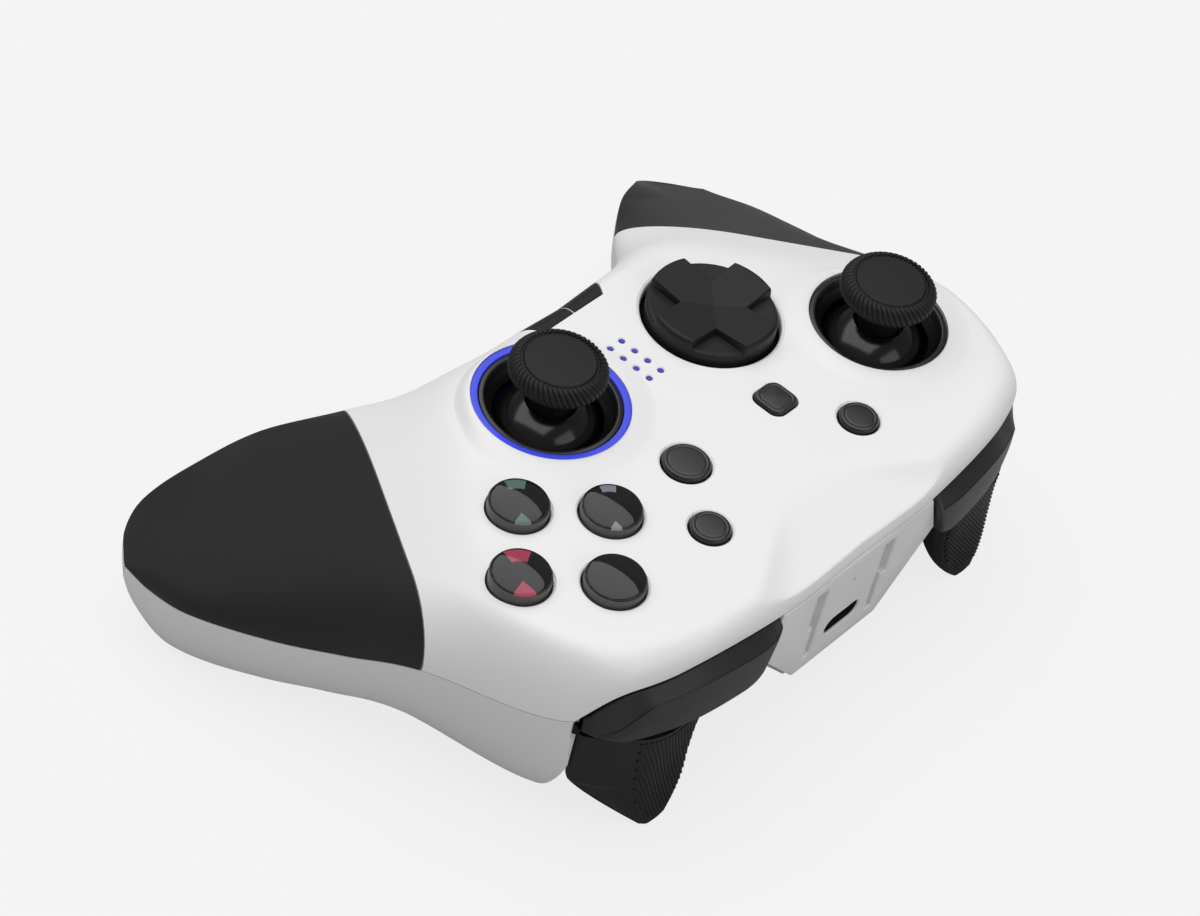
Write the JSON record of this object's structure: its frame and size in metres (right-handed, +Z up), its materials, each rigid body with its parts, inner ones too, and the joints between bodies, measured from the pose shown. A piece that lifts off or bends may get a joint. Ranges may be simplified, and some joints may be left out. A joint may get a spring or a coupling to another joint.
{
  "type": "gamepad controller",
  "caption": "Two-handed wireless game controller with splayed dark grips, tilting thumb sticks, a dished direction pad, domed face buttons, bumpers, pulled triggers and a lit stick ring.",
  "frame": {"origin": "on the floor under the middle of the controller as it stands on its grips and trigger tips", "axes": "+X to the user's right, +Y away from the user towards the triggers, +Z up"},
  "size_m": [0.1564, 0.1046, 0.0563],
  "materials": {
    "white_abs": "satin moulded",
    "light_abs": "fine textured",
    "soft_touch": "soft-touch coating, fine grain",
    "black_abs": "satin moulded",
    "black_gloss": "polished",
    "black_rubber": "matte moulded",
    "grey_abs": "satin moulded",
    "smoke_lens": "clear polished",
    "light_guide": "clear polished",
    "steel": "drawn",
    "board": "solder mask",
    "battery_wrap": "shrink film",
    "socket_metal": "stamped and plated",
    "weight_metal": "sintered",
    "magnet": "sintered and coated"
  },
  "bodies": {
    "case": {"top_shell": "white_abs", "bottom_shell": "light_abs", "left_grip_cover": "soft_touch", "right_grip_cover": "soft_touch", "left_trigger_pin": "steel", "right_trigger_pin": "steel", "left_trigger_spring": "steel", "right_trigger_spring": "steel", "trigger_sensor_boards": "board", "bumper_switches": "black_abs", "left_stick_housing": "black_abs", "right_stick_housing": "black_abs", "left_stick_ring": "black_abs", "right_stick_ring": "black_abs", "right_light_ring": "light_guide", "pad_post": "black_abs", "button_switches": "black_abs", "light_guide": "light_guide", "main_board": "board", "usb_socket": "socket_metal", "battery_pack": "battery_wrap", "left_motor": "steel", "right_motor": "steel", "case_screws": "steel"},
    "left_bumper": {"left_bumper": "black_abs"},
    "left_trigger": {"left_trigger": "black_abs", "left_trigger_magnet": "magnet"},
    "left_yoke": {"left_stick_yoke": "black_abs"},
    "left_pin": {"left_stick_pin": "steel"},
    "left_stick": {"left_stick_cap": "black_rubber", "left_stick_dome": "black_gloss", "left_stick_shaft": "steel"},
    "left_arm": {"left_stick_arm": "black_abs"},
    "left_key": {"left_function_key": "black_abs"},
    "left_weight": {"left_motor_weight": "weight_metal"},
    "right_bumper": {"right_bumper": "black_abs"},
    "right_trigger": {"right_trigger": "black_abs", "right_trigger_magnet": "magnet"},
    "right_yoke": {"right_stick_yoke": "black_abs"},
    "right_pin": {"right_stick_pin": "steel"},
    "right_stick": {"right_stick_cap": "black_rubber", "right_stick_dome": "black_gloss", "right_stick_shaft": "steel"},
    "right_arm": {"right_stick_arm": "black_abs"},
    "right_key": {"right_function_key": "black_abs"},
    "right_weight": {"right_motor_weight": "weight_metal"},
    "pad_gimbal": {"pad_gimbal": "black_abs"},
    "direction_pad": {"direction_pad": "black_abs"},
    "east": {"east_button": "grey_abs", "east_lens": "smoke_lens"},
    "west": {"west_button": "grey_abs", "west_lens": "smoke_lens"},
    "north": {"north_button": "grey_abs", "north_lens": "smoke_lens"},
    "south": {"south_button": "grey_abs", "south_lens": "smoke_lens"},
    "home": {"home_button": "black_abs"},
    "capture": {"capture_button": "black_abs"},
    "plus": {"plus_button": "black_abs"},
    "minus": {"minus_button": "black_abs"}
  },
  "joints": [
    {"name": "left_bumper_press", "type": "hinge", "parent": "case", "child": "left_bumper", "pos_m": [-0.0265, 0.04596, 0.03047], "axis": [0, 0.1041, 0.9946], "range_deg": [0, 1], "stiffness_Nm_per_rad": 0.5},
    {"name": "left_trigger_pull", "type": "hinge", "parent": "case", "child": "left_trigger", "pos_m": [-0.045, 0.03854, 0.02582], "axis": [-1, 0, 0], "range_deg": [0, 18], "stiffness_Nm_per_rad": 0.06},
    {"name": "left_stick_tilt_forward", "type": "hinge", "parent": "case", "child": "left_yoke", "pos_m": [-0.0417, 0.01971, 0.03423], "axis": [1, 0, 0], "range_deg": [-18, 18], "stiffness_Nm_per_rad": 0.03},
    {"name": "left_stick_tilt_sideways", "type": "hinge", "parent": "left_yoke", "child": "left_pin", "pos_m": [-0.0417, 0.01971, 0.03423], "axis": [0, 0.9946, -0.1041], "range_deg": [-18, 18], "stiffness_Nm_per_rad": 0.03},
    {"name": "left_stick_click", "type": "slide", "parent": "left_pin", "child": "left_stick", "axis": [0, -0.1041, -0.9946], "range_m": [0, 0.0005], "stiffness_N_per_m": 4000},
    {"name": "left_arm_follow", "type": "hinge", "parent": "case", "child": "left_arm", "pos_m": [-0.0417, 0.01971, 0.03423], "axis": [0, 0.9946, -0.1041], "range_deg": [-20, 20]},
    {"name": "left_key_press", "type": "slide", "parent": "case", "child": "left_key", "axis": [0, -0.1041, -0.9946], "range_m": [0, 0.0007], "stiffness_N_per_m": 2500},
    {"name": "left_weight_spin", "type": "hinge", "parent": "case", "child": "left_weight", "pos_m": [-0.05, -0.02704, 0.01599], "axis": [1, 0, 0], "continuous": true},
    {"name": "right_bumper_press", "type": "hinge", "parent": "case", "child": "right_bumper", "pos_m": [0.0265, 0.04596, 0.03047], "axis": [0, -0.1041, -0.9946], "range_deg": [0, 1], "stiffness_Nm_per_rad": 0.5},
    {"name": "right_trigger_pull", "type": "hinge", "parent": "case", "child": "right_trigger", "pos_m": [0.045, 0.03854, 0.02582], "axis": [-1, 0, 0], "range_deg": [0, 18], "stiffness_Nm_per_rad": 0.06},
    {"name": "right_stick_tilt_forward", "type": "hinge", "parent": "case", "child": "right_yoke", "pos_m": [0.0193, -0.00376, 0.03668], "axis": [1, 0, 0], "range_deg": [-18, 18], "stiffness_Nm_per_rad": 0.03},
    {"name": "right_stick_tilt_sideways", "type": "hinge", "parent": "right_yoke", "child": "right_pin", "pos_m": [0.0193, -0.00376, 0.03668], "axis": [0, 0.9946, -0.1041], "range_deg": [-18, 18], "stiffness_Nm_per_rad": 0.03},
    {"name": "right_stick_click", "type": "slide", "parent": "right_pin", "child": "right_stick", "axis": [0, -0.1041, -0.9946], "range_m": [0, 0.0005], "stiffness_N_per_m": 4000},
    {"name": "right_arm_follow", "type": "hinge", "parent": "case", "child": "right_arm", "pos_m": [0.0193, -0.00376, 0.03668], "axis": [0, 0.9946, -0.1041], "range_deg": [-20, 20]},
    {"name": "right_key_press", "type": "slide", "parent": "case", "child": "right_key", "axis": [0, -0.1041, -0.9946], "range_m": [0, 0.0007], "stiffness_N_per_m": 2500},
    {"name": "right_weight_spin", "type": "hinge", "parent": "case", "child": "right_weight", "pos_m": [0.05, -0.02704, 0.01599], "axis": [1, 0, 0], "continuous": true},
    {"name": "pad_tilt_forward", "type": "hinge", "parent": "case", "child": "pad_gimbal", "pos_m": [-0.0189, 0.00003, 0.0383], "axis": [1, 0, 0], "range_deg": [-3.5, 3.5], "stiffness_Nm_per_rad": 0.08},
    {"name": "pad_tilt_sideways", "type": "hinge", "parent": "pad_gimbal", "child": "direction_pad", "pos_m": [-0.0189, 0.00003, 0.0383], "axis": [0, 0.9946, -0.1041], "range_deg": [-3.5, 3.5], "stiffness_Nm_per_rad": 0.08},
    {"name": "east_press", "type": "slide", "parent": "case", "child": "east", "axis": [0, -0.1041, -0.9946], "range_m": [0, 0.0015], "stiffness_N_per_m": 700},
    {"name": "west_press", "type": "slide", "parent": "case", "child": "west", "axis": [0, -0.1041, -0.9946], "range_m": [0, 0.0015], "stiffness_N_per_m": 700},
    {"name": "north_press", "type": "slide", "parent": "case", "child": "north", "axis": [0, -0.1041, -0.9946], "range_m": [0, 0.0015], "stiffness_N_per_m": 700},
    {"name": "south_press", "type": "slide", "parent": "case", "child": "south", "axis": [0, -0.1041, -0.9946], "range_m": [0, 0.0015], "stiffness_N_per_m": 700},
    {"name": "home_press", "type": "slide", "parent": "case", "child": "home", "axis": [0, -0.1041, -0.9946], "range_m": [0, 0.0007], "stiffness_N_per_m": 2000},
    {"name": "capture_press", "type": "slide", "parent": "case", "child": "capture", "axis": [0, -0.1041, -0.9946], "range_m": [0, 0.0007], "stiffness_N_per_m": 2000},
    {"name": "plus_press", "type": "slide", "parent": "case", "child": "plus", "axis": [0, -0.1041, -0.9946], "range_m": [0, 0.0007], "stiffness_N_per_m": 2000},
    {"name": "minus_press", "type": "slide", "parent": "case", "child": "minus", "axis": [0, -0.1041, -0.9946], "range_m": [0, 0.0007], "stiffness_N_per_m": 2000}
  ],
  "couplings": [
    {"joint": "left_arm_follow", "follows": "left_stick_tilt_sideways", "ratio": 1},
    {"joint": "right_arm_follow", "follows": "right_stick_tilt_sideways", "ratio": 1}
  ]
}
